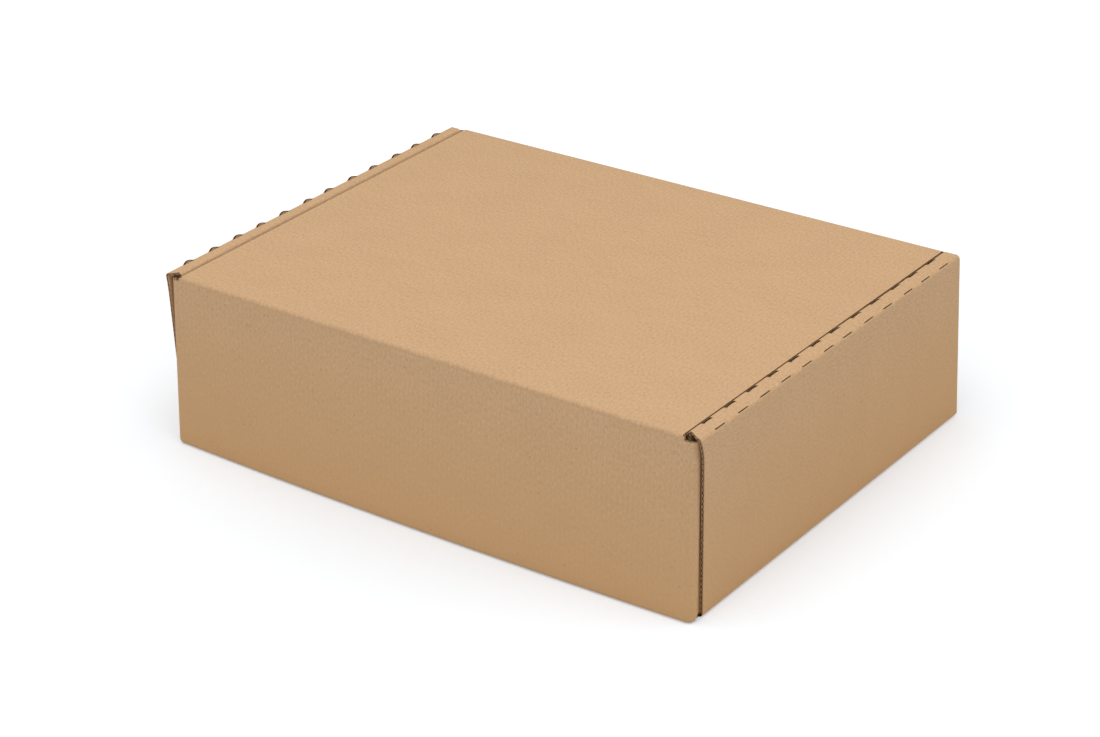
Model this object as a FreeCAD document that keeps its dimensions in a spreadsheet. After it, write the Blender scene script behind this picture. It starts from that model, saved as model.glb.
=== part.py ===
import FreeCAD, Part
import math
import os

doc = FreeCAD.newDocument("mailer_box")

# The driving sizes, all in millimetres and degrees.
# X runs along the hinge, Y from the hinge wall to the front wall, Z up.
sheet = doc.addObject("Spreadsheet::Sheet", "sizes")
SIZES = [
    ("board", "1.6", "thickness of the corrugated board"),
    ("liner", "0.25", "thickness of each liner of the board"),
    ("fluting", "0.2", "thickness of the fluted paper between the liners"),
    ("flute_pitch", "3.25", "distance from flute to flute"),
    ("bend_inner", "1.0", "inside radius of the creased folds"),
    ("lid_length", "340.0", "the lid's length along the hinge"),
    ("rim_play", "1.3", "gap between the lid and each rim"),
    ("rim_width", "10.5", "width of a rolled rim"),
    ("side_flare", "2.3", "how far a side wall leans out from foot to rim"),
    ("box_depth", "278.5", "outside depth at the foot, over the bowed wall"),
    ("foot_bow", "3.0", "how far the hinge wall's foot bows out beyond its ends"),
    ("hinge_lean", "6.7", "how far the hinge wall leans in from foot to crease"),
    ("front_lean", "4.5", "how far the front wall leans in from foot to top"),
    ("box_height", "106.0", "height of the rolled rims"),
    ("lid_drop", "1.0", "how much lower than the rims the lid lies"),
    ("front_play", "0.6", "gap between the lid's underside and the front wall"),
    ("near_setback", "0.3", "near end of the rims, behind the crease"),
    ("near_taper", "2.8", "how far the side panels' near edge runs back below the rim"),
    ("taper_height", "14.0", "height over which it runs back"),
    ("far_setback", "4.2", "far end of the rims, behind the front wall's top"),
    ("rim_setback", "3.8", "how much later the rim starts at its inner fold"),
    ("ear_play_head", "0.7", "gap between ear and side panel at the top"),
    ("ear_play_foot", "0.6", "gap between ear and side panel at the foot"),
    ("ear_play_top", "1.4", "gap between an ear's upper edge and the rim's fold"),
    ("ear_length", "98.0", "how far the ears reach along the side walls"),
    ("corner_inner", "2.6", "inside radius of the upright folds at the ears"),
    ("corner_proud", "0.6", "how far their foot stands out beyond the side panels"),
    ("corner_tuck", "0.3", "how far their head stands out beyond the ears"),
    ("corner_relief", "0.5", "uncreased length at each end of the foot's fold"),
    ("corner_straight", "0.8", "length between an upright fold and the ear's step"),
    ("jog_foot", "8.6", "depth within which an ear has stepped in at the foot"),
    ("jog_head", "6.4", "depth within which an ear has stepped in at the head"),
    ("slit_pitch", "20.5", "distance from slit to slit of a perforated fold"),
    ("slit_length", "9.0", "length of one slit"),
    ("slit_margin", "12.4", "least uncut length at each end of a perforated fold"),
    ("tooth_rise", "2.3", "how far the cut edge stands above the bend's start"),
    ("panel_play", "0.4", "gap between the inner side panel and the base"),
    ("tab_width", "30.0", "width of a locking tab"),
    ("tab_spacing", "130.0", "distance between the two tabs of a side wall"),
    ("tab_recess", "0.2", "how far a tab ends above the base's underside"),
    ("tab_play", "0.35", "free space around a tab in its slot"),
    ("hinge_play", "0.25", "free space at the lid's crease"),
    ("edge_groove", "0.8", "depth of the open flute along the lid's cut sides"),
    ("tuck_play", "0.4", "free space between tuck flap and front wall"),
    ("tuck_length", "48.0", "length of the tuck flap"),
    ("tuck_lean", "6.5", "how far the tuck flap leans inwards, in degrees"),
    ("tuck_inset", "4.0", "how much shorter the tuck flap is at each end"),
    ("tuck_corner", "12.0", "corner radius of the tuck flap"),
]
for row, (alias, value, note) in enumerate(SIZES, start=1):
    sheet.set("A%d" % row, alias)
    sheet.set("B%d" % row, value)
    sheet.set("C%d" % row, note)
    sheet.setAlias("B%d" % row, alias)
doc.recompute()

# The places that follow from the driving sizes.
places = doc.addObject("App::VarSet", "places")
PLACES = [
    ("bend_outer", "sizes.bend_inner + sizes.board"),
    ("corner_outer", "sizes.corner_inner + sizes.board"),
    ("lid_half", "sizes.lid_length / 2"),
    ("rim_inner", "lid_half + sizes.rim_play"),
    ("side_head", "rim_inner + sizes.rim_width"),
    ("side_foot", "side_head - sizes.side_flare"),
    ("side_start", "side_foot - bend_outer"),
    ("foot_face", "sizes.foot_bow - sizes.box_depth / 2"),
    ("crease_face", "foot_face + sizes.hinge_lean"),
    ("front_foot", "sizes.box_depth / 2"),
    ("front_face", "front_foot - sizes.front_lean"),
    ("lid_top", "sizes.box_height - sizes.lid_drop"),
    ("front_top", "lid_top - sizes.board - sizes.front_play"),
    ("side_near", "crease_face + sizes.near_setback"),
    ("side_far", "front_face - sizes.far_setback"),
    ("rim_near", "side_near + sizes.rim_setback"),
    ("ear_head", "side_head - sizes.board - sizes.ear_play_head"),
    ("ear_foot", "side_foot - sizes.board - sizes.ear_play_foot"),
    ("ear_top", "sizes.box_height - bend_outer - sizes.ear_play_top"),
    ("corner_head", "ear_head + sizes.corner_tuck"),
    ("corner_foot", "side_foot + sizes.corner_proud"),
    ("corner_start", "corner_foot - corner_outer"),
    ("hinge_y", "crease_face + sizes.board / 2"),
    ("hinge_z", "lid_top - sizes.board / 2"),
    ("panel_foot", "sizes.board + sizes.panel_play"),
]
for alias, formula in PLACES:
    places.addProperty("App::PropertyFloat", alias)
    places.setExpression(alias, formula)
doc.recompute()


def size(alias):
    return float(sheet.get(alias))


board = size("board")
half_board = board / 2
bend_inner = size("bend_inner")
bend_outer = places.bend_outer
corner_inner = size("corner_inner")
HALF_ROOT = math.sqrt(0.5)
UP = FreeCAD.Vector(0, 0, 1)
TO_FRONT = FreeCAD.Vector(0, 1, 0)
TO_RIGHT = FreeCAD.Vector(1, 0, 0)


def plan(z):
    return lambda point: FreeCAD.Vector(point[0], point[1], z)


def across(y):
    return lambda point: FreeCAD.Vector(point[0], y, point[1])


def along(x):
    return lambda point: FreeCAD.Vector(x, point[0], point[1])


def wire_of(segments, place):
    edges = []
    for segment in segments:
        points = [place(p) for p in segment]
        if len(points) == 2:
            edges.append(Part.makeLine(points[0], points[1]))
        else:
            edges.append(Part.Arc(points[0], points[1], points[2]).toShape())
    return Part.Wire(edges)


def drawn(name, segments, place, holes=(), filled=True):
    wire = wire_of(segments, place)
    feature = doc.addObject("Part::Feature", name)
    if filled:
        feature.Shape = Part.makeFace([wire] + [wire_of(hole, place) for hole in holes], "Part::FaceMakerBullseye")
    else:
        feature.Shape = wire
    return feature


def polygon(points):
    return list(zip(points, points[1:] + points[:1]))


def strip(path, radii):
    """Outline of a board that follows a path along its middle, with an inside radius for each bend."""
    legs = []
    for a, b in zip(path, path[1:]):
        length = math.hypot(b[0] - a[0], b[1] - a[1])
        legs.append(((b[0] - a[0]) / length, (b[1] - a[1]) / length))
    sides = []
    for side in (1, -1):
        here = (path[0][0] - legs[0][1] * half_board * side,
                path[0][1] + legs[0][0] * half_board * side)
        run = []
        for i in range(1, len(path) - 1):
            inner = radii[i - 1]
            middle = inner + half_board
            d0 = legs[i - 1]
            d1 = legs[i]
            turn = math.atan2(d0[0] * d1[1] - d0[1] * d1[0], d0[0] * d1[0] + d0[1] * d1[1])
            sign = 1 if turn > 0 else -1
            back = middle * math.tan(abs(turn) / 2)
            n0 = (-d0[1] * sign, d0[0] * sign)
            n1 = (-d1[1] * sign, d1[0] * sign)
            centre = (path[i][0] - d0[0] * back + n0[0] * middle,
                      path[i][1] - d0[1] * back + n0[1] * middle)
            radius = inner if side == sign else inner + board
            nm = (n0[0] + n1[0], n0[1] + n1[1])
            reach = math.hypot(nm[0], nm[1])
            p = (centre[0] - n0[0] * radius, centre[1] - n0[1] * radius)
            m = (centre[0] - nm[0] / reach * radius, centre[1] - nm[1] / reach * radius)
            q = (centre[0] - n1[0] * radius, centre[1] - n1[1] * radius)
            run.append((here, p))
            run.append((p, m, q))
            here = q
        last = (path[-1][0] - legs[-1][1] * half_board * side,
                path[-1][1] + legs[-1][0] * half_board * side)
        run.append((here, last))
        sides.append(run)
    forward = sides[0]
    backward = [tuple(reversed(segment)) for segment in reversed(sides[1])]
    end = (forward[-1][-1], backward[0][0])
    start = (backward[-1][-1], forward[0][0])
    return forward + [end] + backward + [start]


def flute_cells(a, b):
    """Hollows between the liners and the fluting of the board, on the straight from a to b."""
    pitch = size("flute_pitch")
    fluting = size("fluting")
    crest = half_board - size("liner")
    valley = fluting * 1.25 - crest
    length = math.hypot(b[0] - a[0], b[1] - a[1])
    d = ((b[0] - a[0]) / length, (b[1] - a[1]) / length)
    count = int(length / pitch - 0.5)
    first = (length - (count + 0.5) * pitch) / 2
    cells = []
    for i in range(2 * count):
        side = 1 if i % 2 == 0 else -1
        s = first + i * pitch / 2
        corners = [
            (s + fluting * 0.6, crest * side),
            (s + pitch / 2 - fluting * 0.75, valley * side),
            (s + pitch / 2 + fluting * 0.75, valley * side),
            (s + pitch - fluting * 0.6, crest * side),
        ]
        cells.append(polygon([(a[0] + d[0] * t - d[1] * n, a[1] + d[1] * t + d[0] * n) for t, n in corners]))
    return cells


def extruded(name, base, direction, length):
    feature = doc.addObject("Part::Extrusion", name)
    feature.Base = base
    feature.DirMode = "Custom"
    feature.Dir = direction
    feature.Solid = True
    feature.setExpression("LengthFwd", length)
    return feature


def box(name, length, width, height, x, y, z):
    feature = doc.addObject("Part::Box", name)
    for prop, value in (("Length", length), ("Width", width), ("Height", height),
                        ("Placement.Base.x", x), ("Placement.Base.y", y), ("Placement.Base.z", z)):
        feature.setExpression(prop, value)
    return feature


def fused(name, parts):
    feature = doc.addObject("Part::MultiFuse", name)
    feature.Shapes = parts
    feature.Refine = True
    return feature


def cut(name, base, tool):
    feature = doc.addObject("Part::Cut", name)
    feature.Base = base
    feature.Tool = tool
    feature.Refine = True
    return feature


def bunch(name, parts):
    feature = doc.addObject("Part::Compound", name)
    feature.Links = parts
    return feature


def mirrored(name, source):
    feature = doc.addObject("Part::Mirroring", name)
    feature.Source = source
    feature.Normal = TO_RIGHT
    feature.Base = FreeCAD.Vector(0, 0, 0)
    return feature


# The hinge wall's foot is a flat arc in plan. Wall, fold and base share its centre.
side_start = places.side_start
corner_start = places.corner_start
bow = size("foot_bow")
bow_radius = (corner_start ** 2 + bow ** 2) / (2 * bow)
bow_centre = places.foot_face + math.sqrt(bow_radius ** 2 - corner_start ** 2)
bow_front = bow_centre - bow_radius


def on_bow(radius, x):
    return bow_centre - math.sqrt(radius ** 2 - x ** 2)


def wall_outline(corner, ear, face, side, jog, end, bowed=False):
    """Plan of an end wall whose ears turn the corner, step in and run along the side walls."""
    middle = face + half_board * side
    ear_middle = ear - half_board
    corner_middle = corner - half_board
    step = face + (places.corner_outer + size("corner_straight")) * side
    start = corner - places.corner_outer
    half = [(corner_middle, middle), (corner_middle, step), (ear_middle, face + jog * side), (ear_middle, end)]
    path = [(-x, y) for x, y in reversed(half)] + half
    ear_bends = [bend_inner, bend_inner]
    segments = strip(path, ear_bends + [corner_inner, corner_inner] + ear_bends)
    if not bowed:
        return segments
    inner_end = on_bow(bow_radius - board, start)
    bent = []
    for segment in segments:
        points = []
        for p in segment:
            if abs(abs(p[0]) - start) < 1e-6 and abs(p[1] - face - board) < 1e-6:
                p = (p[0], inner_end)
            points.append(p)
        if len(points) == 2 and abs(points[0][0] + points[1][0]) < 1e-6 and abs(points[0][0]) > start - 1e-6:
            middle_y = bow_front if abs(points[0][1] - face) < 1e-6 else bow_front + board
            points = [points[0], (0.0, middle_y), points[1]]
        bent.append(tuple(points))
    return bent


def wall(name, foot, head):
    feature = doc.addObject("Part::Loft", name)
    feature.Sections = [foot, head]
    feature.Solid = True
    feature.Ruled = True
    return feature


# The base: one flat panel that stops where the four folds begin.
front_start = places.front_foot - bend_outer
base_near = on_bow(bow_radius - bend_outer, side_start)
base_plan = [
    ((-side_start, base_near), (0, bow_front + bend_outer), (side_start, base_near)),
    ((side_start, base_near), (side_start, front_start)),
    ((side_start, front_start), (-side_start, front_start)),
    ((-side_start, front_start), (-side_start, base_near)),
]
base_face = drawn("base_plan", base_plan, plan(0))
base_panel = extruded("base_panel", base_face, UP, "sizes.board")


def fold_section(start, side):
    """Quarter ring of a lower fold: from the base at start up into a wall."""
    outer = start + bend_outer * side
    inner = start + bend_inner * side
    return [
        ((start, 0), (start + bend_outer * HALF_ROOT * side, bend_outer * (1 - HALF_ROOT)), (outer, bend_outer)),
        ((outer, bend_outer), (inner, bend_outer)),
        ((inner, bend_outer),
         (start + bend_inner * HALF_ROOT * side, bend_outer - bend_inner * HALF_ROOT),
         (start, board)),
        ((start, board), (start, 0)),
    ]


# The hinge wall's lower fold turns the base into the bowed foot of the wall.
hinge_ring = drawn("hinge_fold_section", fold_section(bow_front + bend_outer, -1), along(0))
half_sweep = math.degrees(math.asin((corner_start - size("corner_relief")) / bow_radius))
hinge_folds = []
for name, sweep in (("hinge_fold_right", half_sweep), ("hinge_fold_left", -half_sweep)):
    fold = doc.addObject("Part::Revolution", name)
    fold.Source = hinge_ring
    fold.Axis = UP
    fold.Base = FreeCAD.Vector(0, bow_centre, 0)
    fold.Angle = sweep
    fold.Solid = True
    hinge_folds.append(fold)

# The hinge wall with its ears leans in from the bowed foot to the straight crease.
hinge_z = places.hinge_z
ear_end = places.foot_face + size("ear_length")
hinge_foot = drawn("hinge_wall_foot",
                   wall_outline(places.corner_foot, places.ear_foot, places.foot_face, 1,
                                size("jog_foot"), ear_end, True),
                   plan(bend_outer), filled=False)
hinge_head = drawn("hinge_wall_head",
                   wall_outline(places.corner_head, places.ear_head, places.crease_face, 1,
                                size("jog_head"), ear_end),
                   plan(hinge_z), filled=False)
hinge_sheet = wall("hinge_wall_sheet", hinge_foot, hinge_head)

# A rounded notch steps down from the crease to the ears at each end.
ear_top = places.ear_top
notch = hinge_z - ear_top
lid_half = places.lid_half
beyond = places.side_head + board
above = size("box_height") + board
notch_outline = [
    ((lid_half, above), (lid_half, ear_top + notch)),
    ((lid_half, ear_top + notch),
     (lid_half + notch * (1 - HALF_ROOT), ear_top + notch * (1 - HALF_ROOT)),
     (lid_half + notch, ear_top)),
    ((lid_half + notch, ear_top), (beyond, ear_top)),
    ((beyond, ear_top), (beyond, above)),
    ((beyond, above), (lid_half, above)),
]
notch_face = drawn("notch_outline", notch_outline, across(bow_front - board))
notch_right = extruded("notch_right", notch_face, TO_FRONT,
                       "sizes.ear_length + sizes.foot_bow + 2 * sizes.board")
notch_left = mirrored("notch_left", notch_right)
hinge_wall = cut("hinge_wall", hinge_sheet, bunch("notches", [notch_right, notch_left]))

crease = doc.addObject("Part::Cylinder", "crease_round")
crease.setExpression("Radius", "sizes.board / 2")
crease.setExpression("Height", "sizes.lid_length")
crease.setExpression("Placement.Base.x", "-places.lid_half")
crease.setExpression("Placement.Base.y", "places.hinge_y")
crease.setExpression("Placement.Base.z", "places.hinge_z")
crease.Placement.Rotation = FreeCAD.Rotation(TO_FRONT, 90)

# The front wall leans in too, and its ears lie in the side walls as well.
front_y = places.front_face
front_end = places.front_foot - size("ear_length")
front_foot = drawn("front_wall_foot",
                   wall_outline(places.corner_foot, places.ear_foot, places.front_foot, -1,
                                size("jog_foot"), front_end),
                   plan(bend_outer), filled=False)
front_head = drawn("front_wall_head",
                   wall_outline(places.corner_head, places.ear_head, front_y, -1,
                                size("jog_head"), front_end),
                   plan(places.front_top), filled=False)
front_sheet = wall("front_wall_sheet", front_foot, front_head)
front_ear_outline = polygon([(lid_half, ear_top), (beyond, ear_top), (beyond, above), (lid_half, above)])
front_ear_face = drawn("front_ear_outline", front_ear_outline, across(front_end - board))
front_ear_right = extruded("front_ear_right", front_ear_face, TO_FRONT, "sizes.ear_length + 2 * sizes.board")
front_ear_left = mirrored("front_ear_left", front_ear_right)
front_wall = cut("front_wall", front_sheet, bunch("front_ear_cuts", [front_ear_right, front_ear_left]))
front_ring = drawn("front_fold_section", fold_section(front_start, 1),
                   along(size("corner_relief") - corner_start))
front_fold = extruded("front_fold", front_ring, TO_RIGHT, "2 * (places.corner_start - sizes.corner_relief)")

# A side wall: outer panel, rim and inner panel are one strip rolled over the ears.
# The flutes run along it, so they lie open at the cut ends of the outer panel and the rim.
foot_x = places.side_foot
head_x = places.side_head
rim_x = places.rim_inner
rim_z = size("box_height")
near_y = places.side_near
roll_path = [
    (side_start - 2 * board, half_board),
    (foot_x - half_board, half_board),
    (head_x - half_board, rim_z - half_board),
    (rim_x + half_board, rim_z - half_board),
    (rim_x + half_board, places.panel_foot),
]
lean = math.atan2(head_x - foot_x, rim_z - board)
panel_length = (rim_z - 2 * bend_outer) / math.cos(lean)
panel_start = (side_start + (bend_inner + half_board) * math.cos(lean), bend_outer)
panel_end = (panel_start[0] + panel_length * math.sin(lean), rim_z - bend_outer)
flutes = flute_cells(panel_start, panel_end)
flutes += flute_cells((head_x - bend_outer, rim_z - half_board), (rim_x + bend_outer, rim_z - half_board))
roll_face = drawn("side_section", strip(roll_path, [bend_inner] * 4), across(near_y), holes=flutes)
roll = extruded("side_strip", roll_face, TO_FRONT, "places.side_far - places.side_near")

# The rim and the inner panel are cut back at the hinge end, and the outer panel runs back below the rim.
slant = [
    (rim_x - board, near_y - board),
    (rim_x - board, places.rim_near),
    (rim_x + bend_outer, places.rim_near),
    (head_x - board - bend_outer / 2, near_y),
    (head_x - board - bend_outer / 2, near_y - board),
]
slant_face = drawn("slant_outline", polygon(slant), plan(2 * board))
slant_tool = extruded("slant_cut", slant_face, UP, "sizes.box_height")
taper = [
    (near_y - board, -board),
    (near_y + size("near_taper"), -board),
    (near_y + size("near_taper"), rim_z - size("taper_height")),
    (near_y, rim_z),
    (near_y - board, rim_z),
]
taper_face = drawn("taper_outline", polygon(taper), along(rim_x))
taper_tool = extruded("taper_cut", taper_face, TO_RIGHT, "sizes.rim_width + sizes.board")

# Both upper folds are perforated: slits alternate with short lengths of bent board.
slit_room = places.side_far - near_y - 2 * size("slit_margin") - size("slit_length")
slit_count = int(slit_room / size("slit_pitch")) + 1
slit_tools = []
teeth = []
for i in range(slit_count):
    start = ("(places.side_near + places.side_far - sizes.slit_length) / 2 + %s * sizes.slit_pitch"
             % (i - (slit_count - 1) / 2))
    for name, place in (("outer_slit_%d", "places.side_head"), ("inner_slit_%d", "places.rim_inner")):
        slit_tools.append(box(name % i, "2 * places.bend_outer", "sizes.slit_length", "2 * places.bend_outer",
                              place + " - places.bend_outer", start, "sizes.box_height - places.bend_outer"))
    tooth = box("tooth_%d" % i, "sizes.board", "sizes.slit_length", "sizes.tooth_rise + sizes.liner",
                "%.9f" % (panel_end[0] - half_board * math.cos(lean) - size("liner") * math.sin(lean)),
                start, "sizes.box_height - places.bend_outer - sizes.liner")
    tooth.Placement.Rotation = FreeCAD.Rotation(TO_FRONT, math.degrees(lean))
    teeth.append(tooth)
side_ends = cut("side_taper", cut("side_slant", roll, slant_tool), taper_tool)
side_cut = cut("side_cut", side_ends, bunch("slits", slit_tools))

# The inner panel stands on two tabs that sit in slots of the base.
tabs = []
slots = []
for i, sign in enumerate(("", "-")):
    middle_y = "%ssizes.tab_spacing / 2" % sign
    tabs.append(box("tab_%d" % i, "sizes.board", "sizes.tab_width",
                    "places.panel_foot - sizes.tab_recess + 2 * sizes.board",
                    "places.rim_inner", middle_y + " - sizes.tab_width / 2", "sizes.tab_recess"))
    slots.append(box("slot_%d" % i, "sizes.board + 2 * sizes.tab_play", "sizes.tab_width + 2 * sizes.tab_play",
                     "3 * sizes.board", "places.rim_inner - sizes.tab_play",
                     middle_y + " - sizes.tab_width / 2 - sizes.tab_play", "-sizes.board"))
right_side = fused("right_side", [side_cut] + teeth + tabs)
left_side = mirrored("left_side", right_side)
slots_right = bunch("slots_right", slots)
slots_left = mirrored("slots_left", slots_right)
base = cut("base", base_panel, bunch("slots", [slots_right, slots_left]))
tray = fused("tray", [base, hinge_folds[0], hinge_folds[1], hinge_wall, crease, front_fold, front_wall,
                      right_side, left_side])

# The lid: top panel and tuck flap, one board with a single fold.
tuck_y = front_y - board - size("tuck_play")
lean_in = math.radians(size("tuck_lean"))
tuck_length = size("tuck_length")
corner = (tuck_y - half_board, hinge_z)
flap_end = (corner[0] - math.sin(lean_in) * tuck_length, corner[1] - math.cos(lean_in) * tuck_length)
lid_path = [
    (places.hinge_y + half_board + size("hinge_play"), hinge_z),
    corner,
    flap_end,
]
lid_face = drawn("lid_section", strip(lid_path, [bend_inner]), along(-lid_half))
lid_sheet = extruded("lid_sheet", lid_face, TO_RIGHT, "sizes.lid_length")

# The tuck flap is narrower than the lid and its corners are rounded.
flap_foot = flap_end[1] - half_board * math.sin(lean_in)
flap_half = lid_half - size("tuck_inset")
flap_corner = size("tuck_corner")
flap_head = places.lid_top - bend_outer - board
outside = lid_half + board
below = flap_foot - board
trim = [
    ((outside, flap_head), (lid_half, flap_head)),
    ((lid_half, flap_head), (flap_half, flap_head - size("tuck_inset"))),
    ((flap_half, flap_head - size("tuck_inset")), (flap_half, flap_foot + flap_corner)),
    ((flap_half, flap_foot + flap_corner),
     (flap_half - flap_corner * (1 - HALF_ROOT), flap_foot + flap_corner * (1 - HALF_ROOT)),
     (flap_half - flap_corner, flap_foot)),
    ((flap_half - flap_corner, flap_foot), (flap_half - flap_corner, below)),
    ((flap_half - flap_corner, below), (outside, below)),
    ((outside, below), (outside, flap_head)),
]
trim_depth = math.sin(lean_in) * tuck_length + 4 * board
trim_face = drawn("flap_trim_outline", trim, across(front_y - trim_depth))
trim_right = extruded("flap_trim_right", trim_face, TO_FRONT, "%.9f" % trim_depth)
trim_left = mirrored("flap_trim_left", trim_right)

# The lid's sides are cut along the flutes, so one flute lies open in each side edge.
groove_right = doc.addObject("Part::Box", "groove_right")
groove_right.Length = 2 * size("edge_groove")
groove_right.Width = tuck_y - 2 * bend_outer - places.hinge_y
groove_right.Height = board - 2 * size("liner")
groove_right.Placement.Base = FreeCAD.Vector(lid_half - size("edge_groove"), places.hinge_y,
                                             places.lid_top - board + size("liner"))
groove_left = mirrored("groove_left", groove_right)
lid = cut("lid", lid_sheet, bunch("lid_cuts", [trim_right, trim_left, groove_right, groove_left]))

tray.Label = "tray"
lid.Label = "lid"
doc.recompute()

for item in doc.Objects:
    if "Invalid" in item.State or "Error" in item.State:
        raise RuntimeError("%s could not be built: %s" % (item.Name, item.State))
for item in (tray, lid):
    if item.Shape.isNull() or not item.Shape.isValid():
        raise RuntimeError("%s has no sound shape" % item.Name)

os.makedirs("parts", exist_ok=True)
for item in (tray, lid):
    solids = item.Shape.Solids
    print(item.Label, "solids", len(solids), "volume", round(item.Shape.Volume, 1))
    if len(solids) != 1:
        raise RuntimeError("%s is not one solid" % item.Label)
    item.Shape.exportStep("parts/%s.step" % item.Label)
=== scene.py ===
import bisect
import math
import bmesh
import bpy
from mathutils import Matrix, Vector


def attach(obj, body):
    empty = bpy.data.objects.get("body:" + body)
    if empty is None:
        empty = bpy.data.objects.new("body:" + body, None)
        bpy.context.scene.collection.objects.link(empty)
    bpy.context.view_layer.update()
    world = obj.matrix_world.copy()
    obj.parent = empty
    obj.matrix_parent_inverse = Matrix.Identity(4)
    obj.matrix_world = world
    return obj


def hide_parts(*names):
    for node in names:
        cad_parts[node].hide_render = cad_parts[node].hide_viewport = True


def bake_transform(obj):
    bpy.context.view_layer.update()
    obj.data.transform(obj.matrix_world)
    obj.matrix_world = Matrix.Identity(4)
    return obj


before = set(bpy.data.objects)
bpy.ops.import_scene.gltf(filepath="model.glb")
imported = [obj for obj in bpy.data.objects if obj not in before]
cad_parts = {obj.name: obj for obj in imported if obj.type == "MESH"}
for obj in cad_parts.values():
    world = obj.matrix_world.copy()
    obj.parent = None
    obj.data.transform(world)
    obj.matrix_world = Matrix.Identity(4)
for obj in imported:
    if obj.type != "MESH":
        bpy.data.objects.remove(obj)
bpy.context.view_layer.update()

# Base: the flat bottom panel of the blank, fine-flute kraft board with the flutes running from
# the hinge wall to the front wall. It is die cut in one piece with the four walls, and has four
# slots that hold the side walls' tabs. Lengths are in millimetres here and in all that follows.
MM = 0.001
BOARD = 1.6
LINER = 0.25
FLUTING = 0.3
PITCH = 3.25
FLUTE_STEP = PITCH / 8
BEND = 1.8
BEND_OUTER = BEND + BOARD / 2
FOOT_X = 179.5
RIM_X = 171.3
FOOT_Y = 139.25
HINGE_FOOT_Y = -136.25
SIDE_START = FOOT_X - BEND_OUTER
CORNER_FOOT = 179.0
CORNER_OUTER = 4.2
SMOOTH_ANGLE = math.radians(38)
TINT_HEIGHT = 95.0

# The hinge wall's foot bows out by BOW, on an arc that ends where the wall's corners start.
BOW = 3.0
BOW_EDGE = CORNER_FOOT - CORNER_OUTER
BOW_RADIUS = (BOW_EDGE ** 2 + BOW ** 2) / (2 * BOW)
BOW_CENTRE = HINGE_FOOT_Y + math.sqrt(BOW_RADIUS ** 2 - BOW_EDGE ** 2)


def steps(start, end, size):
    """Even places from start to end, no further apart than size."""
    count = max(1, math.ceil(abs(end - start) / size - 1e-6))
    return [start + (end - start) * i / count for i in range(count + 1)]


def merged(*runs):
    """All places of the given runs in order, each once."""
    out = []
    for value in sorted(v for run in runs for v in run):
        if not out or value - out[-1] > 1e-3:
            out.append(value)
    return out


class Piece:
    """Paper sheets of one board: points, their places on the flat blank, and faces.

    Mirror and shift choose the part of the paper's pattern that the piece is cut from.
    """

    def __init__(self, mirror=1, shift=(0.0, 0.0)):
        self.mirror, self.shift = mirror, shift
        self.points, self.blank, self.faces, self.papers = [], [], [], []

    def sheet(self, place, us, vs, low, high, keep=None, papers=(0, 2)):
        """One closed sheet between two depths, over the kept cells of a grid on the blank.

        Papers are the materials of its low and its high face: 0 liner, 1 cut edge, 2 core, a
        kraft painted dark as shade.
        """
        columns, rows = len(us) - 1, len(vs) - 1
        kept = [[keep is None or keep((us[i] + us[i + 1]) / 2, (vs[j] + vs[j + 1]) / 2)
                 for j in range(rows)] for i in range(columns)]
        index = {}

        def corner(i, j, side):
            key = (i, j, side)
            if key not in index:
                depth = (low, high)[side](us[i])
                index[key] = len(self.points)
                self.points.append(place(us[i], vs[j], depth))
                self.blank.append(
                    (self.mirror * us[i] + self.shift[0], vs[j] + self.shift[1], depth))
            return index[key]

        def face(corners, kind):
            self.faces.append([corner(*c) for c in corners])
            self.papers.append(kind)

        def there(i, j):
            return 0 <= i < columns and 0 <= j < rows and kept[i][j]

        neighbours = ((0, -1), (1, 0), (0, 1), (-1, 0))
        for i in range(columns):
            for j in range(rows):
                if not kept[i][j]:
                    continue
                ring = [(i, j), (i + 1, j), (i + 1, j + 1), (i, j + 1)]
                face([c + (0,) for c in ring], papers[0])
                face([c + (1,) for c in reversed(ring)], papers[1])
                for (a, b), (di, dj) in zip(zip(ring, ring[1:] + ring[:1]), neighbours):
                    if not there(i + di, j + dj):
                        face([a + (1,), b + (1,), b + (0,), a + (0,)], 1)

    def board(self, place, us, vs, keep=None, flutes=()):
        """Two liners, and the fluting between them where a cut edge lets it be seen."""
        # Each liner's face inside the board takes the core paper, painted dark as shade.
        self.sheet(place, us, vs, lambda u: 0.0, lambda u: LINER, keep)
        self.sheet(place, us, vs, lambda u: BOARD - LINER, lambda u: BOARD, keep, (2, 0))
        swing = BOARD / 2 - LINER - FLUTING / 2

        def wave(u):
            return BOARD / 2 + swing * math.sin(2 * math.pi * u / PITCH)

        for columns, rows in flutes:
            self.sheet(place, columns, rows, lambda u: wave(u) - FLUTING / 2,
                       lambda u: wave(u) + FLUTING / 2, keep, (1, 1))

    def made(self, name, body):
        """The finished object; with a body it rides on that body in place of its CAD node."""
        mesh = bpy.data.meshes.new(name)
        mesh.from_pydata([tuple(c * MM for c in p) for p in self.points], [], self.faces)
        mesh.materials.append(liner_paper)
        mesh.materials.append(cut_paper)
        mesh.materials.append(core_shade_paper)
        mesh.polygons.foreach_set("material_index", self.papers)
        blank = mesh.attributes.new("blank", "FLOAT_VECTOR", "POINT")
        blank.data.foreach_set("vector", [c for p in self.blank for c in p])
        low_down = mesh.attributes.new("low_down", "FLOAT", "POINT")
        low_down.data.foreach_set(
            "value", [min(1.0, max(0.0, 1 - p[2] / TINT_HEIGHT)) for p in self.points])
        work = bmesh.new()
        work.from_mesh(mesh)
        bmesh.ops.recalc_face_normals(work, faces=work.faces)
        work.to_mesh(mesh)
        work.free()
        mesh.polygons.foreach_set("use_smooth", [True] * len(mesh.polygons))
        mesh.set_sharp_from_angle(angle=SMOOTH_ANGLE)
        piece = bpy.data.objects.new(name, mesh)
        bpy.context.scene.collection.objects.link(piece)
        if body:
            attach(piece, body)
            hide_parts(body)
        return piece


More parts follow.
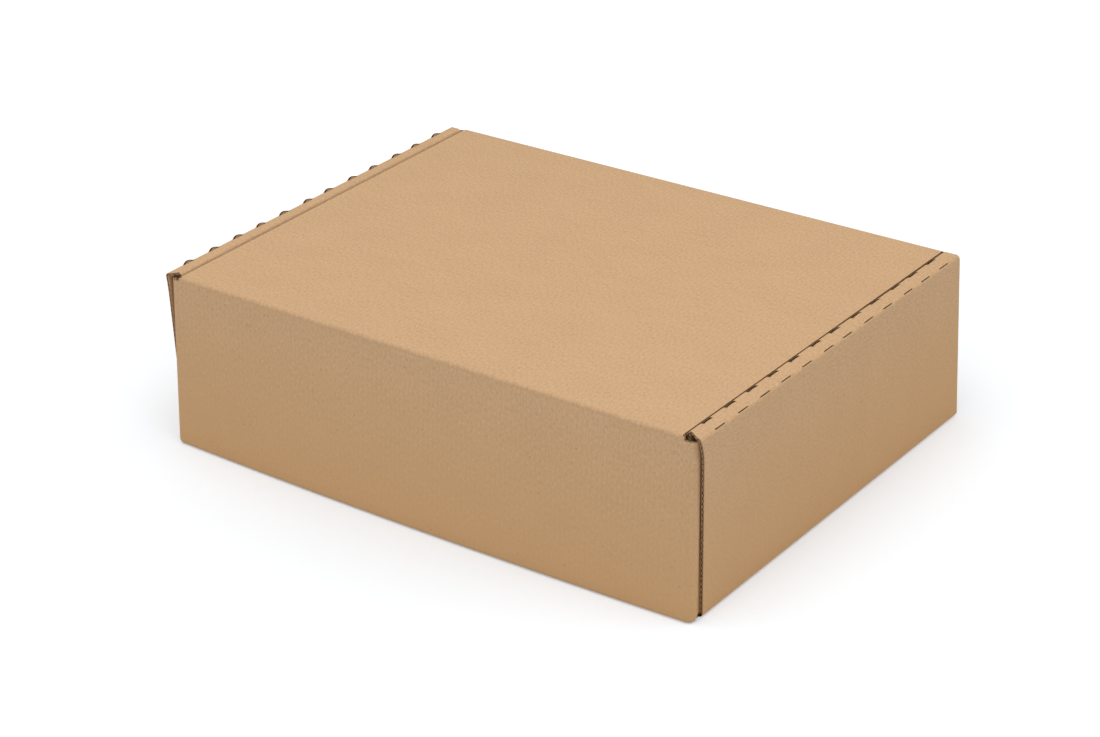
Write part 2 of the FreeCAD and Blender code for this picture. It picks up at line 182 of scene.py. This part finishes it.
# The paper's three noises: how often each repeats per millimetre of the blank, and its detail.
CLOUDS = ((0.03, 0.045, 0.0), 3.0)
FIBRES = ((1.05, 0.42, 0.0), 4.0)
GRAIN = ((1.9, 1.5, 0.0), 3.0)
# Their shares in the tone, and the sum at which the paper is at its darkest and its palest.
CLOUD_SHARE, FIBRE_SHARE, GRAIN_SHARE, LINE_SHARE = 0.14, 0.8, 0.75, 0.022
DARKEST, PALEST = 0.5, 1.19
TINT_SHARE = 0.8
# Dark flecks: cells on the blank, a fleck's radius in its cell, and which cells have one.
FLECK_CELLS, FLECK_SCALE = (0.28, 0.42, 0.0), 0.6
FLECK_RADIUS, FLECK_RARITY, FLECK_SHARE = 0.085, 0.72, 0.42
# Relief of the fibres, the grain and the flutes that press through, in shares of its height.
RELIEF_METRES = 0.00012
FIBRE_RELIEF, GRAIN_RELIEF, LINE_RELIEF = 0.8, 0.5, 0.09


def paper(name, pale, dark, fleck, orange, bump):
    """Brown kraft paper: cloudy tone, short fibres, dark flecks, faint lines of the flutes."""
    material = bpy.data.materials.new(name)
    material.use_nodes = True
    nodes, links = material.node_tree.nodes, material.node_tree.links
    shader = nodes["Principled BSDF"]
    shader.inputs["Roughness"].default_value = 0.86
    shader.inputs["Specular IOR Level"].default_value = 0.22
    blank = nodes.new("ShaderNodeAttribute")
    blank.attribute_name = "blank"
    low_down = nodes.new("ShaderNodeAttribute")
    low_down.attribute_name = "low_down"

    def stretched(scale):
        mapping = nodes.new("ShaderNodeMapping")
        mapping.inputs["Scale"].default_value = scale
        links.new(blank.outputs["Vector"], mapping.inputs["Vector"])
        return mapping.outputs["Vector"]

    def noise(scale, detail):
        texture = nodes.new("ShaderNodeTexNoise")
        texture.inputs["Scale"].default_value = 1.0
        texture.inputs["Detail"].default_value = detail
        links.new(stretched(scale), texture.inputs["Vector"])
        return texture.outputs["Fac"]

    def fill(socket, value):
        if isinstance(value, (int, float, tuple)):
            socket.default_value = value
        else:
            links.new(value, socket)

    def sums(operation, a, b):
        node = nodes.new("ShaderNodeMath")
        node.operation = operation
        fill(node.inputs[0], a)
        fill(node.inputs[1], b)
        return node.outputs[0]

    def mix(factor, a, b):
        node = nodes.new("ShaderNodeMix")
        node.data_type = "RGBA"
        links.new(factor, node.inputs["Factor"])
        fill(node.inputs[6], a)
        fill(node.inputs[7], b)
        return node.outputs[2]

    clouds, fibres, grain = noise(*CLOUDS), noise(*FIBRES), noise(*GRAIN)
    split = nodes.new("ShaderNodeSeparateXYZ")
    links.new(blank.outputs["Vector"], split.inputs[0])
    flute_line = sums("SINE", sums("MULTIPLY", split.outputs[0], 2 * math.pi / PITCH), 0.0)
    tone = sums("ADD", sums("MULTIPLY", clouds, CLOUD_SHARE),
                sums("MULTIPLY", fibres, FIBRE_SHARE))
    tone = sums("ADD", tone, sums("MULTIPLY", grain, GRAIN_SHARE))
    tone = sums("ADD", tone, sums("MULTIPLY", flute_line, LINE_SHARE))
    reach = nodes.new("ShaderNodeMapRange")
    reach.inputs["From Min"].default_value = DARKEST
    reach.inputs["From Max"].default_value = PALEST
    links.new(tone, reach.inputs["Value"])
    colour = mix(reach.outputs["Result"], dark, pale)
    colour = mix(sums("MULTIPLY", low_down.outputs["Fac"], TINT_SHARE), colour, orange)
    flecks = nodes.new("ShaderNodeTexVoronoi")
    flecks.inputs["Scale"].default_value = FLECK_SCALE
    links.new(stretched(FLECK_CELLS), flecks.inputs["Vector"])
    chosen = nodes.new("ShaderNodeSeparateColor")
    links.new(flecks.outputs["Color"], chosen.inputs[0])
    near = sums("LESS_THAN", flecks.outputs["Distance"], FLECK_RADIUS)
    few = sums("GREATER_THAN", chosen.outputs[0], FLECK_RARITY)
    colour = mix(sums("MULTIPLY", sums("MULTIPLY", near, few), FLECK_SHARE), colour, fleck)
    links.new(colour, shader.inputs["Base Color"])
    relief = nodes.new("ShaderNodeBump")
    relief.inputs["Strength"].default_value = bump
    relief.inputs["Distance"].default_value = RELIEF_METRES
    height = sums("ADD", sums("MULTIPLY", fibres, FIBRE_RELIEF),
                  sums("MULTIPLY", grain, GRAIN_RELIEF))
    height = sums("ADD", height, sums("MULTIPLY", flute_line, LINE_RELIEF))
    links.new(height, relief.inputs["Height"])
    links.new(relief.outputs["Normal"], shader.inputs["Normal"])
    return material


liner_paper = paper("kraft_liner", pale=(0.735, 0.475, 0.268, 1), dark=(0.465, 0.287, 0.150, 1),
                    fleck=(0.22, 0.12, 0.06, 1), orange=(0.60, 0.35, 0.160, 1), bump=0.26)
cut_paper = paper("kraft_cut_edge", pale=(0.62, 0.40, 0.225, 1), dark=(0.40, 0.24, 0.125, 1),
                  fleck=(0.16, 0.09, 0.045, 1), orange=(0.42, 0.24, 0.11, 1), bump=0.8)
# The core is the same kraft painted dark brown: painted shade for the inside of the board, seen
# between the liners at cut edges and gaps.
core_shade_paper = paper("kraft_core_painted_shade", pale=(0.20, 0.115, 0.058, 1), dark=(0.11, 0.06, 0.03, 1),
                   fleck=(0.08, 0.045, 0.022, 1), orange=(0.15, 0.082, 0.04, 1), bump=0.5)


def bow_y(radius, x):
    return BOW_CENTRE - math.sqrt(radius ** 2 - x ** 2)


CORNER_START = 172.6
SLOT_HALF = 15.35
SLOT_PLAY = 0.35
SLOTS_Y = (-65.0, 65.0)
EDGE_ROW = 0.5
base_near = bow_y(BOW_RADIUS - BEND_OUTER, 0.0)
base_far = FOOT_Y - BEND_OUTER
slot_from, slot_to = RIM_X - SLOT_PLAY, RIM_X + BOARD + SLOT_PLAY


def base_place(u, v, depth):
    """Place on the base; its first row follows the bowed fold and its corners are cut off."""
    corner = max(0.0, abs(u) - CORNER_START)
    if v < base_near + EDGE_ROW:
        return (u, bow_y(BOW_RADIUS - BEND_OUTER, u) + corner, depth)
    return (u, v - corner if v > base_far - EDGE_ROW else v, depth)


def base_keep(u, v):
    in_slot = slot_from < abs(u) < slot_to
    return not (in_slot and any(abs(v - y) < SLOT_HALF for y in SLOTS_Y))


base = Piece(1, (900.0, 0.0))
slot_lines = [sign * x for sign in (1, -1) for x in (slot_from, slot_to)]
slot_ends = [y + sign * SLOT_HALF for y in SLOTS_Y for sign in (1, -1)]
base.board(base_place,
           merged(steps(-SIDE_START, SIDE_START, 12), slot_lines, [-CORNER_START, CORNER_START]),
           merged([base_near], steps(base_near + 4, base_far, 14), slot_ends), base_keep)
base.made("base", "tray")


# Hinge wall: the long wall that carries the lid, of the same blank, with an ear at each end that
# turns the corner into the side wall. Its foot bows out and its head is held straight by the
# crease; the flutes stand upright in it.
FOLD_LENGTH = BEND * math.pi / 2
FOLD_TURNS = 8
CUT_DEPTH = 8.0
CREASE_Y = -129.55
CREASE_FROM = 102.4
HINGE_Z = 104.2
EAR_Z = 102.0
EAR_LENGTH = 98.0
CORNER_HEAD = 178.2
EAR_FOOT, EAR_HEAD = 177.3, 178.1
JOG_START = CORNER_OUTER + 0.8
JOG_FOOT, JOG_HEAD = 8.6, 6.4
NOTCH_X = 170.0
NOTCH_END = NOTCH_X + 2.2


def stations(points, radii, side):
    """Places and outward normals along a board's middle line that bends with given radii."""
    out = []

    def add(x, y, nx, ny):
        travelled = 0.0
        if out:
            travelled = out[-1][0] + math.hypot(x - out[-1][1], y - out[-1][2])
        out.append((travelled, x, y, nx, ny))

    legs = []
    for a, b in zip(points, points[1:]):
        length = math.hypot(b[0] - a[0], b[1] - a[1])
        legs.append(((b[0] - a[0]) / length, (b[1] - a[1]) / length))
    normals = [(leg[1] * side, -leg[0] * side) for leg in legs]
    add(points[0][0], points[0][1], *normals[0])
    for i, radius in enumerate(radii, start=1):
        d0, d1 = legs[i - 1], legs[i]
        turn = math.atan2(d0[0] * d1[1] - d0[1] * d1[0], d0[0] * d1[0] + d0[1] * d1[1])
        back = radius * math.tan(abs(turn) / 2)
        sign = 1 if turn > 0 else -1
        cx = points[i][0] - d0[0] * back - d0[1] * sign * radius
        cy = points[i][1] - d0[1] * back + d0[0] * sign * radius
        for k in range(FOLD_TURNS + 1):
            angle = turn * k / FOLD_TURNS
            c, s = math.cos(angle), math.sin(angle)
            tx, ty = d0[0] * c - d0[1] * s, d0[0] * s + d0[1] * c
            add(cx + ty * sign * radius, cy - tx * sign * radius, ty * side, -tx * side)
    add(points[-1][0], points[-1][1], *normals[-1])
    return out


def fold_from(run, fold):
    """Where the given fold of a middle line starts, counted from 0."""
    return run[1 + fold * (FOLD_TURNS + 1)][0]


def fold_to(run, fold):
    """Where the given fold of a middle line ends."""
    return run[(fold + 1) * (FOLD_TURNS + 1)][0]


def at(run, spot):
    i = min(int(spot), len(run) - 2)
    part = spot - i
    return [a + (b - a) * part for a, b in zip(run[i], run[i + 1])]


def spot_of(run, travelled):
    i = min(max(bisect.bisect_right([s[0] for s in run], travelled) - 1, 0), len(run) - 2)
    gap = run[i + 1][0] - run[i][0]
    return i + (min(1.0, max(0.0, (travelled - run[i][0]) / gap)) if gap > 1e-9 else 0.0)


def wall_plan(corner, ear, face, way, jog, end):
    """Half of a long wall's plan, from its middle round the corner and along the side wall."""
    middle = face + BOARD / 2 * way
    points = [(0.0, middle), (corner - BOARD / 2, middle),
              (corner - BOARD / 2, face + JOG_START * way),
              (ear - BOARD / 2, face + jog * way), (ear - BOARD / 2, end)]
    return stations(points, [CORNER_OUTER - BOARD / 2, BEND, BEND], way)


def wall_place(foot, head, mirror, bowed, head_z):
    """Place on a wall ruled between foot and head, above the quarter bend of its lower fold."""
    def place(u, v, depth):
        spot = spot_of(foot, u)
        lower, upper = at(foot, spot), at(head, spot)
        out = BOARD / 2 - depth
        up = max(0.0, v - FOLD_LENGTH)
        share = up / (head_z - BEND_OUTER)
        bulge = 0.0
        if bowed and lower[1] < BOW_EDGE:
            bulge = (bow_y(BOW_RADIUS, lower[1]) - HINGE_FOOT_Y) * max(0.0, 1 - share)
        x = lower[1] + (upper[1] - lower[1]) * share
        y = lower[2] + (upper[2] - lower[2]) * share + bulge
        nx = lower[3] + (upper[3] - lower[3]) * share
        ny = lower[4] + (upper[4] - lower[4]) * share
        if v >= FOLD_LENGTH:
            return (mirror * (x + nx * out), y + ny * out, BEND_OUTER + up)
        angle = v / FOLD_LENGTH * math.pi / 2
        radius = BEND + out
        reach = radius * math.sin(angle) - BEND
        return (mirror * (x + nx * reach), y + ny * reach, BEND_OUTER - radius * math.cos(angle))
    return place


ear_end = HINGE_FOOT_Y + EAR_LENGTH
hinge_foot = wall_plan(CORNER_FOOT, EAR_FOOT, HINGE_FOOT_Y, 1, JOG_FOOT, ear_end)
hinge_head = wall_plan(CORNER_HEAD, EAR_HEAD, CREASE_Y, 1, JOG_HEAD, ear_end)
corner_to, hinge_total = fold_to(hinge_foot, 0), hinge_foot[-1][0]
notch_top = FOLD_LENGTH + HINGE_Z - BEND_OUTER
ear_top = FOLD_LENGTH + EAR_Z - BEND_OUTER
crease_row = FOLD_LENGTH + CREASE_FROM - BEND_OUTER
fold_rows = steps(0.0, FOLD_LENGTH, FOLD_LENGTH / 7)


def hinge_keep(u, v):
    if v < FOLD_LENGTH:
        return u < corner_to
    if v > crease_row and u < NOTCH_X:
        return False
    return v < ear_top or u < NOTCH_END


hinge_across = merged(steps(0.0, NOTCH_X, 6), [s[0] for s in hinge_foot],
                      steps(NOTCH_X, NOTCH_X + 3.3, 0.55), steps(corner_to, hinge_total, 3))
hinge_up = merged(fold_rows, steps(FOLD_LENGTH, ear_top, 8), [crease_row],
                  steps(crease_row, notch_top, 0.45))
for mirror, name in ((1, "hinge_wall_right"), (-1, "hinge_wall_left")):
    wall = Piece(mirror)
    wall.board(wall_place(hinge_foot, hinge_head, mirror, True, HINGE_Z),
               hinge_across, hinge_up, hinge_keep,
               [(steps(NOTCH_X, hinge_total, FLUTE_STEP), [ear_top - CUT_DEPTH, ear_top]),
                (steps(NOTCH_X, NOTCH_END, FLUTE_STEP), [ear_top, notch_top])])
    wall.made(name, "tray")


# Front wall: the far long wall, also of the same blank, whose ears lie in the side walls too.
# The lid's tuck flap goes down behind it, so its upper edge is a plain cut with open flutes.
FRONT_Y = 134.75
FRONT_Z = 102.8
FRONT_CORNER_FOOT, FRONT_CORNER_HEAD = 177.4, 179.6
FRONT_EAR_HEAD = 179.5
front_end = FOOT_Y - EAR_LENGTH
front_foot = wall_plan(FRONT_CORNER_FOOT, EAR_FOOT, FOOT_Y, -1, JOG_FOOT, front_end)
front_head = wall_plan(FRONT_CORNER_HEAD, FRONT_EAR_HEAD, FRONT_Y, -1, JOG_FOOT, front_end)
front_corner_to, front_total = fold_to(front_foot, 0), front_foot[-1][0]
front_top = FOLD_LENGTH + FRONT_Z - BEND_OUTER


def front_keep(u, v):
    if v < FOLD_LENGTH:
        return u < front_corner_to
    return v < ear_top or u < NOTCH_X


front_across = merged(steps(0.0, NOTCH_X, 6), [s[0] for s in front_foot],
                      steps(front_corner_to, front_total, 3))
front_up = merged(fold_rows, steps(FOLD_LENGTH, ear_top, 8), [front_top])
for mirror, name in ((1, "front_wall_right"), (-1, "front_wall_left")):
    wall = Piece(mirror, (0.0, 700.0))
    wall.board(wall_place(front_foot, front_head, mirror, False, FRONT_Z),
               front_across, front_up, front_keep,
               [(steps(0.0, NOTCH_X, FLUTE_STEP), [front_top - CUT_DEPTH, front_top]),
                (steps(NOTCH_X, front_total, FLUTE_STEP), [ear_top - CUT_DEPTH, ear_top])])
    wall.made(name, "tray")


# Side walls: each is one strip that rises from the base, rolls over the ears and comes down
# inside to two tabs. Both upper folds are perforated with short slits, and the flutes show as
# holes at the strip's two cut ends. The tabs in the base's slots hold it, with no glue.
HEAD_X = 181.74
TOP_Z = 106.0
SIDE_NEAR = -129.25
SIDE_FAR = 130.55
SLIT = 9.0
SLIT_STARTS = (-116.4, -95.2, -74.8, -54.8, -34.5, -13.1, 5.8, 27.8, 47.7, 69.6, 88.5, 108.7)
SLIT_LIP = 0.35
TAB_HALF, TAB_LENGTH = 15.0, 1.8
STRIP_END_Z = 2.0
# The near end is set back below the panel's top 20 mm and again along the rim. The far end runs
# out at the foot and steps back a little at the head.
TAPER_HEIGHT, RIM_SETBACK = 20.0, 3.8
FAR_FOOT, FAR_HEAD = 7.4, 1.6
NEAR_SPREAD, FAR_SPREAD = 16.0, 12.0
# The rim's inner edge swells towards the lid: most by the hinge wall, less by the front wall, and
# least at the slits. The swelling dies out down the inner panel.
SWELL_FROM, SWELL_TO, SWELL_LOSS = -10.0, 60.0, 0.8
SWELL_DEPTH, SLIT_RELIEF = 40.0, 1.5
TOOTH_RISE = 1.8
SAG_FROM, SAG_WAVE, SAG_WAVE_LENGTH = 60.0, 0.1, 37.0
section = stations([(SIDE_START, BOARD / 2), (FOOT_X - BOARD / 2, BOARD / 2),
                    (HEAD_X - BOARD / 2, TOP_Z - BOARD / 2),
                    (RIM_X + BOARD / 2, TOP_Z - BOARD / 2), (RIM_X + BOARD / 2, STRIP_END_Z)],
                   [BEND, BEND, BEND], 1)
panel_from, panel_top = fold_to(section, 0), fold_from(section, 1)
rim_from, rim_to = fold_to(section, 1), fold_from(section, 2)
inner_from, strip_end = fold_to(section, 2), section[-1][0]
panel_head = section[FOLD_TURNS + 2]
flutes_from = section[FOLD_TURNS][0]
far_turn = panel_top - 2.0
taper_from = panel_top - TAPER_HEIGHT + BEND_OUTER


def slope(value, low, high):
    return min(1.0, max(0.0, (value - low) / (high - low)))


def near_edge(u, taper):
    low_part = taper * (1 - slope(u, taper_from, panel_top) ** 3)
    return low_part + RIM_SETBACK * slope(u, rim_from, rim_to)


def far_edge(u):
    high_part = FAR_HEAD * slope(u, far_turn, rim_from) ** 2
    return high_part - FAR_FOOT * (1 - slope(u, flutes_from, far_turn))


def in_slit(v):
    return any(start < v < start + SLIT for start in SLIT_STARTS)


def slit_share(v):
    return sum(math.sin(math.pi * slope(v, start, start + SLIT)) for start in SLIT_STARTS)


def side_keep(side, cut_line):
    def keep(u, v):
        in_cut = cut_line - side["cut_half"] < u < cut_line + side["cut_half"]
        in_inner_cut = side["open_inside"] and rim_to < u < inner_from
        return not ((in_cut or in_inner_cut) and in_slit(v))
    return keep


def side_place(side, cut_line, lead=None):
    """Place on a side strip; a lead goes straight on from a fold, as a slit's free edge does."""
    def swell(v):
        if side["push"] <= 0:
            return side["push"]
        along = 1 - SWELL_LOSS * slope(v, SWELL_FROM, SWELL_TO)
        return side["push"] * along * (1 - min(1.0, SLIT_RELIEF * slit_share(v)))

    def place(u, v, depth):
        y = v + near_edge(u, side["taper"]) * (1 - slope(v, SIDE_NEAR, SIDE_NEAR + NEAR_SPREAD))
        y -= far_edge(u) * slope(v, SIDE_FAR - FAR_SPREAD, SIDE_FAR)
        _, x, z, nx, nz = at(section, spot_of(section, u if lead is None else lead))
        if lead is not None:
            x, z = x - nz * (u - lead), z + nx * (u - lead)
        if lead is None and panel_top < u < cut_line:
            _, ax, az, anx, anz = panel_head
            share = side["spring"] * slit_share(v)
            rise = TOOTH_RISE * (u - panel_top)
            x, z = x + (ax - anz * rise - x) * share, z + (az + anx * rise - z) * share
            nx, nz = nx + (anx - nx) * share, nz + (anz - nz) * share
        x, z = x + nx * (BOARD / 2 - depth), z + nz * (BOARD / 2 - depth)
        if lead is None and u > rim_from:
            x -= (swell(v) * slope(u, rim_from, rim_to)
                  * (1 - slope(u, inner_from, inner_from + SWELL_DEPTH)))
        wave = 1 - SAG_WAVE + SAG_WAVE * math.sin(y / SAG_WAVE_LENGTH)
        z -= side["sag"] * slope(z, SAG_FROM, TOP_Z) * wave
        return (side["mirror"] * min(x, HEAD_X), y, min(z, TOP_Z))
    return place


# Sag lowers a wall's head. Spring lifts the slits' lower lips as teeth. The slits are cut at
# cut_share of the outer fold, cut_half to each side. Push moves the rim's inner edge towards the
# lid, or away from it where it is negative. Taper sets the near end back below the head.
SIDES = (
    {"name": "side_wall_right", "mirror": 1, "sag": 0.0, "spring": 0.15, "cut_share": 0.5,
     "cut_half": 0.2, "push": 0.65, "taper": 2.8, "open_inside": True},
    {"name": "side_wall_left", "mirror": -1, "sag": 0.9, "spring": 1.0, "cut_share": 0.78,
     "cut_half": 0.5, "push": -1.4, "taper": 0.6, "open_inside": False},
)
end_flutes = steps(flutes_from, strip_end, FLUTE_STEP)
end_rows = ([SIDE_NEAR, SIDE_NEAR + 3, SIDE_NEAR + CUT_DEPTH],
            [SIDE_FAR - CUT_DEPTH, SIDE_FAR - 3, SIDE_FAR])
for side in SIDES:
    mirror = side["mirror"]
    cut_line = panel_top + side["cut_share"] * (rim_from - panel_top)
    across = merged([s[0] for s in section], steps(panel_from, panel_top, 7),
                    steps(rim_from, rim_to, 1.6), steps(inner_from, strip_end, 9),
                    [cut_line - side["cut_half"], cut_line + side["cut_half"]],
                    steps(taper_from, panel_top, 3), [far_turn])
    down = merged([SIDE_NEAR], steps(SIDE_NEAR + 4, SIDE_FAR - 4, 9),
                  [SIDE_NEAR + NEAR_SPREAD, SIDE_FAR - FAR_SPREAD, SIDE_FAR],
                  *[steps(start, start + SLIT, 1.0) for start in SLIT_STARTS])
    strip = Piece(mirror, (500.0, 300.0 * mirror))
    strip.board(side_place(side, cut_line), across, down, side_keep(side, cut_line),
                [(end_flutes, rows) for rows in end_rows])
    if side["open_inside"]:
        for start in SLIT_STARTS:
            strip.board(side_place(side, cut_line, rim_to), [rim_to, rim_to + SLIT_LIP],
                        steps(start, start + SLIT, 3))

    def tab_place(u, v, depth):
        return (mirror * (RIM_X + depth), v, STRIP_END_Z - u)

    for tab_y in SLOTS_Y:
        strip.board(tab_place, [0.0, TAB_LENGTH], steps(tab_y - TAB_HALF, tab_y + TAB_HALF, 5))
    strip.made(side["name"], "tray")


# Lid: the blank goes on over the crease at the top of the hinge wall, across the box and down
# into the tuck flap. It is one sheet of board with the flutes running from hinge to front, so
# its side edges are cut along a flute.
LID_HALF = 170.2
TUCK_PLAY = 0.4
TUCK_Y = FRONT_Y - BOARD - TUCK_PLAY
TUCK_LENGTH = 48.0
TUCK_LEAN = math.radians(6.5)
TUCK_INSET, TUCK_SHOULDER, TUCK_CORNER = 4.0, 4.0, 12.0
CREASE_BEND = 1.15
wall_slope = (CREASE_Y - HINGE_FOOT_Y) / (HINGE_Z - BEND_OUTER)
hinge_y = CREASE_Y + BOARD / 2
tuck_y = TUCK_Y - BOARD / 2
lid_line = stations([(hinge_y - (HINGE_Z - CREASE_FROM) * wall_slope, CREASE_FROM),
                     (hinge_y, HINGE_Z), (tuck_y, HINGE_Z),
                     (tuck_y - math.sin(TUCK_LEAN) * TUCK_LENGTH,
                      HINGE_Z - math.cos(TUCK_LEAN) * TUCK_LENGTH)], [CREASE_BEND, BEND], -1)
lid_from, lid_to = fold_to(lid_line, 0), fold_from(lid_line, 1)
flap_from, flap_to = fold_to(lid_line, 1), lid_line[-1][0]


def lid_place(u, v, depth):
    """Place on the lid; its start follows the bowed wall, and the flap narrows and is rounded."""
    _, y, z, ny, nz = at(lid_line, spot_of(lid_line, v))
    y, z = y + ny * (BOARD / 2 - depth), z + nz * (BOARD / 2 - depth)
    if v < lid_from:
        share = 1 - slope(z, BEND_OUTER, HINGE_Z)
        y += (bow_y(BOW_RADIUS, u) - HINGE_FOOT_Y) * share * (1 - slope(v, 0.0, lid_from))
    half = LID_HALF - TUCK_INSET * slope(v, flap_from, flap_from + TUCK_SHOULDER)
    into_corner = max(0.0, v - (flap_to - TUCK_CORNER))
    half -= TUCK_CORNER - math.sqrt(max(0.0, TUCK_CORNER ** 2 - into_corner ** 2))
    return (u * half / LID_HALF, y, z)


lid = Piece(1, (0.0, crease_row))
lid_run = merged([s[0] for s in lid_line], steps(lid_from, lid_to, 8),
                 steps(flap_from, flap_to - TUCK_CORNER, 6), [flap_from + TUCK_SHOULDER],
                 steps(flap_to - TUCK_CORNER, flap_to - 0.4, 1.2))
side_flutes = 2 * PITCH
flap_rows = [v for v in lid_run if v >= flap_to - CUT_DEPTH]
lid.board(lid_place, steps(-LID_HALF, LID_HALF, 6), lid_run, None,
          [(steps(LID_HALF - side_flutes, LID_HALF, FLUTE_STEP), lid_run),
           (steps(-LID_HALF, side_flutes - LID_HALF, FLUTE_STEP), lid_run),
           (steps(side_flutes - LID_HALF, LID_HALF - side_flutes, PITCH / 6), flap_rows)])
lid_piece = lid.made("lid_board", None)
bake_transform(lid_piece)
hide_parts("lid")


# Floor, room and lamps: a plain white studio ground that keeps only the box's soft shadow, bare
# white walls, one wide lamp above and a weaker one at each side. None of it is part of the box.
FLOOR_HALF = 6.0
FLOOR_Z = -0.0002
FLOOR_COLOUR = (0.735, 0.77, 0.805, 1)
# The floor's own white, as the camera sees it, grows from near the box to further out, in metres.
GLOW_FROM, GLOW_TO = 0.16, 0.75
GLOW_LEAST, GLOW_MOST = 0.24, 0.70
ROOM_LEVEL = 0.59
LAMPS = (("top_lamp", (0.25, -0.35, 1.5), 1.3, 10.6),
         ("left_lamp", (-1.8, -1.1, 0.9), 1.2, 3.6),
         ("right_lamp", (1.8, 0.6, 0.9), 1.2, 3.8))
LAMP_TARGET = Vector((0, 0, 0.05))

floor_mesh = bpy.data.meshes.new("floor")
floor_mesh.from_pydata([(x * FLOOR_HALF, y * FLOOR_HALF, FLOOR_Z)
                        for x, y in ((-1, -1), (1, -1), (1, 1), (-1, 1))], [], [(0, 1, 2, 3)])
floor = bpy.data.objects.new("floor", floor_mesh)
bpy.context.scene.collection.objects.link(floor)
ground = bpy.data.materials.new("white_ground")
ground.use_nodes = True
nodes, links = ground.node_tree.nodes, ground.node_tree.links
nodes["Principled BSDF"].inputs["Base Color"].default_value = FLOOR_COLOUR
nodes["Principled BSDF"].inputs["Roughness"].default_value = 1.0
nodes["Principled BSDF"].inputs["Specular IOR Level"].default_value = 0.0
where = nodes.new("ShaderNodeTexCoord")
distance = nodes.new("ShaderNodeVectorMath")
distance.operation = "LENGTH"
links.new(where.outputs["Object"], distance.inputs[0])
glow_level = nodes.new("ShaderNodeMapRange")
glow_level.inputs["From Min"].default_value = GLOW_FROM
glow_level.inputs["From Max"].default_value = GLOW_TO
glow_level.inputs["To Min"].default_value = GLOW_LEAST
glow_level.inputs["To Max"].default_value = GLOW_MOST
links.new(distance.outputs["Value"], glow_level.inputs["Value"])
seen = nodes.new("ShaderNodeLightPath")
strength = nodes.new("ShaderNodeMath")
strength.operation = "MULTIPLY"
links.new(seen.outputs["Is Camera Ray"], strength.inputs[0])
links.new(glow_level.outputs["Result"], strength.inputs[1])
glow = nodes.new("ShaderNodeEmission")
links.new(strength.outputs[0], glow.inputs["Strength"])
both = nodes.new("ShaderNodeAddShader")
links.new(nodes["Principled BSDF"].outputs[0], both.inputs[0])
links.new(glow.outputs[0], both.inputs[1])
links.new(both.outputs[0], nodes["Material Output"].inputs["Surface"])
floor.data.materials.append(ground)

world = bpy.data.worlds.new("white_room")
world.use_nodes = True
nodes, links = world.node_tree.nodes, world.node_tree.links
seen = nodes.new("ShaderNodeLightPath")
direct = nodes.new("ShaderNodeMath")
direct.operation = "MAXIMUM"
links.new(seen.outputs["Is Camera Ray"], direct.inputs[0])
links.new(seen.outputs["Is Glossy Ray"], direct.inputs[1])
either = nodes.new("ShaderNodeMath")
either.operation = "MAXIMUM"
links.new(direct.outputs[0], either.inputs[0])
links.new(seen.outputs["Is Transmission Ray"], either.inputs[1])
level = nodes.new("ShaderNodeMapRange")
level.inputs["To Min"].default_value = ROOM_LEVEL
level.inputs["To Max"].default_value = 1.0
links.new(either.outputs[0], level.inputs["Value"])
links.new(level.outputs["Result"], nodes["Background"].inputs["Strength"])
nodes["Background"].inputs["Color"].default_value = (1, 1, 1, 1)
bpy.context.scene.world = world

for name, spot, width, power in LAMPS:
    lamp = bpy.data.lights.new(name, "AREA")
    lamp.size = width
    lamp.energy = power
    holder = bpy.data.objects.new(name, lamp)
    holder.location = spot
    holder.rotation_euler = (LAMP_TARGET - Vector(spot)).to_track_quat("-Z", "Y").to_euler()
    bpy.context.scene.collection.objects.link(holder)


# Camera: it looks down at the box from beyond the near right corner, with a long lens. Its
# place, turn and lens come from matching the box's outline in an image of 1100 by 737 pixels.
IMAGE_WIDTH = 1100
SENSOR_WIDTH = 36
FOCAL_PIXELS = 2782.0
YAW, PITCH_DOWN, ROLL = (math.radians(a) for a in (-37.430, 26.909, -1.979))
EYE = (0.8568, -1.1325, 0.7605)
ahead = Vector((math.sin(YAW) * math.cos(PITCH_DOWN), math.cos(YAW) * math.cos(PITCH_DOWN),
                -math.sin(PITCH_DOWN)))
level_right = Vector((math.cos(YAW), -math.sin(YAW), 0))
level_up = level_right.cross(ahead)
image_right = level_right * math.cos(ROLL) + level_up * math.sin(ROLL)
image_up = level_up * math.cos(ROLL) - level_right * math.sin(ROLL)
camera = bpy.data.objects.new("camera", bpy.data.cameras.new("camera"))
bpy.context.scene.collection.objects.link(camera)
camera.data.sensor_width = SENSOR_WIDTH
camera.data.lens = FOCAL_PIXELS / IMAGE_WIDTH * SENSOR_WIDTH
camera.matrix_world = Matrix(((image_right.x, image_up.x, -ahead.x, EYE[0]),
                              (image_right.y, image_up.y, -ahead.y, EYE[1]),
                              (image_right.z, image_up.z, -ahead.z, EYE[2]),
                              (0, 0, 0, 1)))
bpy.context.scene.camera = camera
bpy.context.scene.view_settings.view_transform = "Standard"
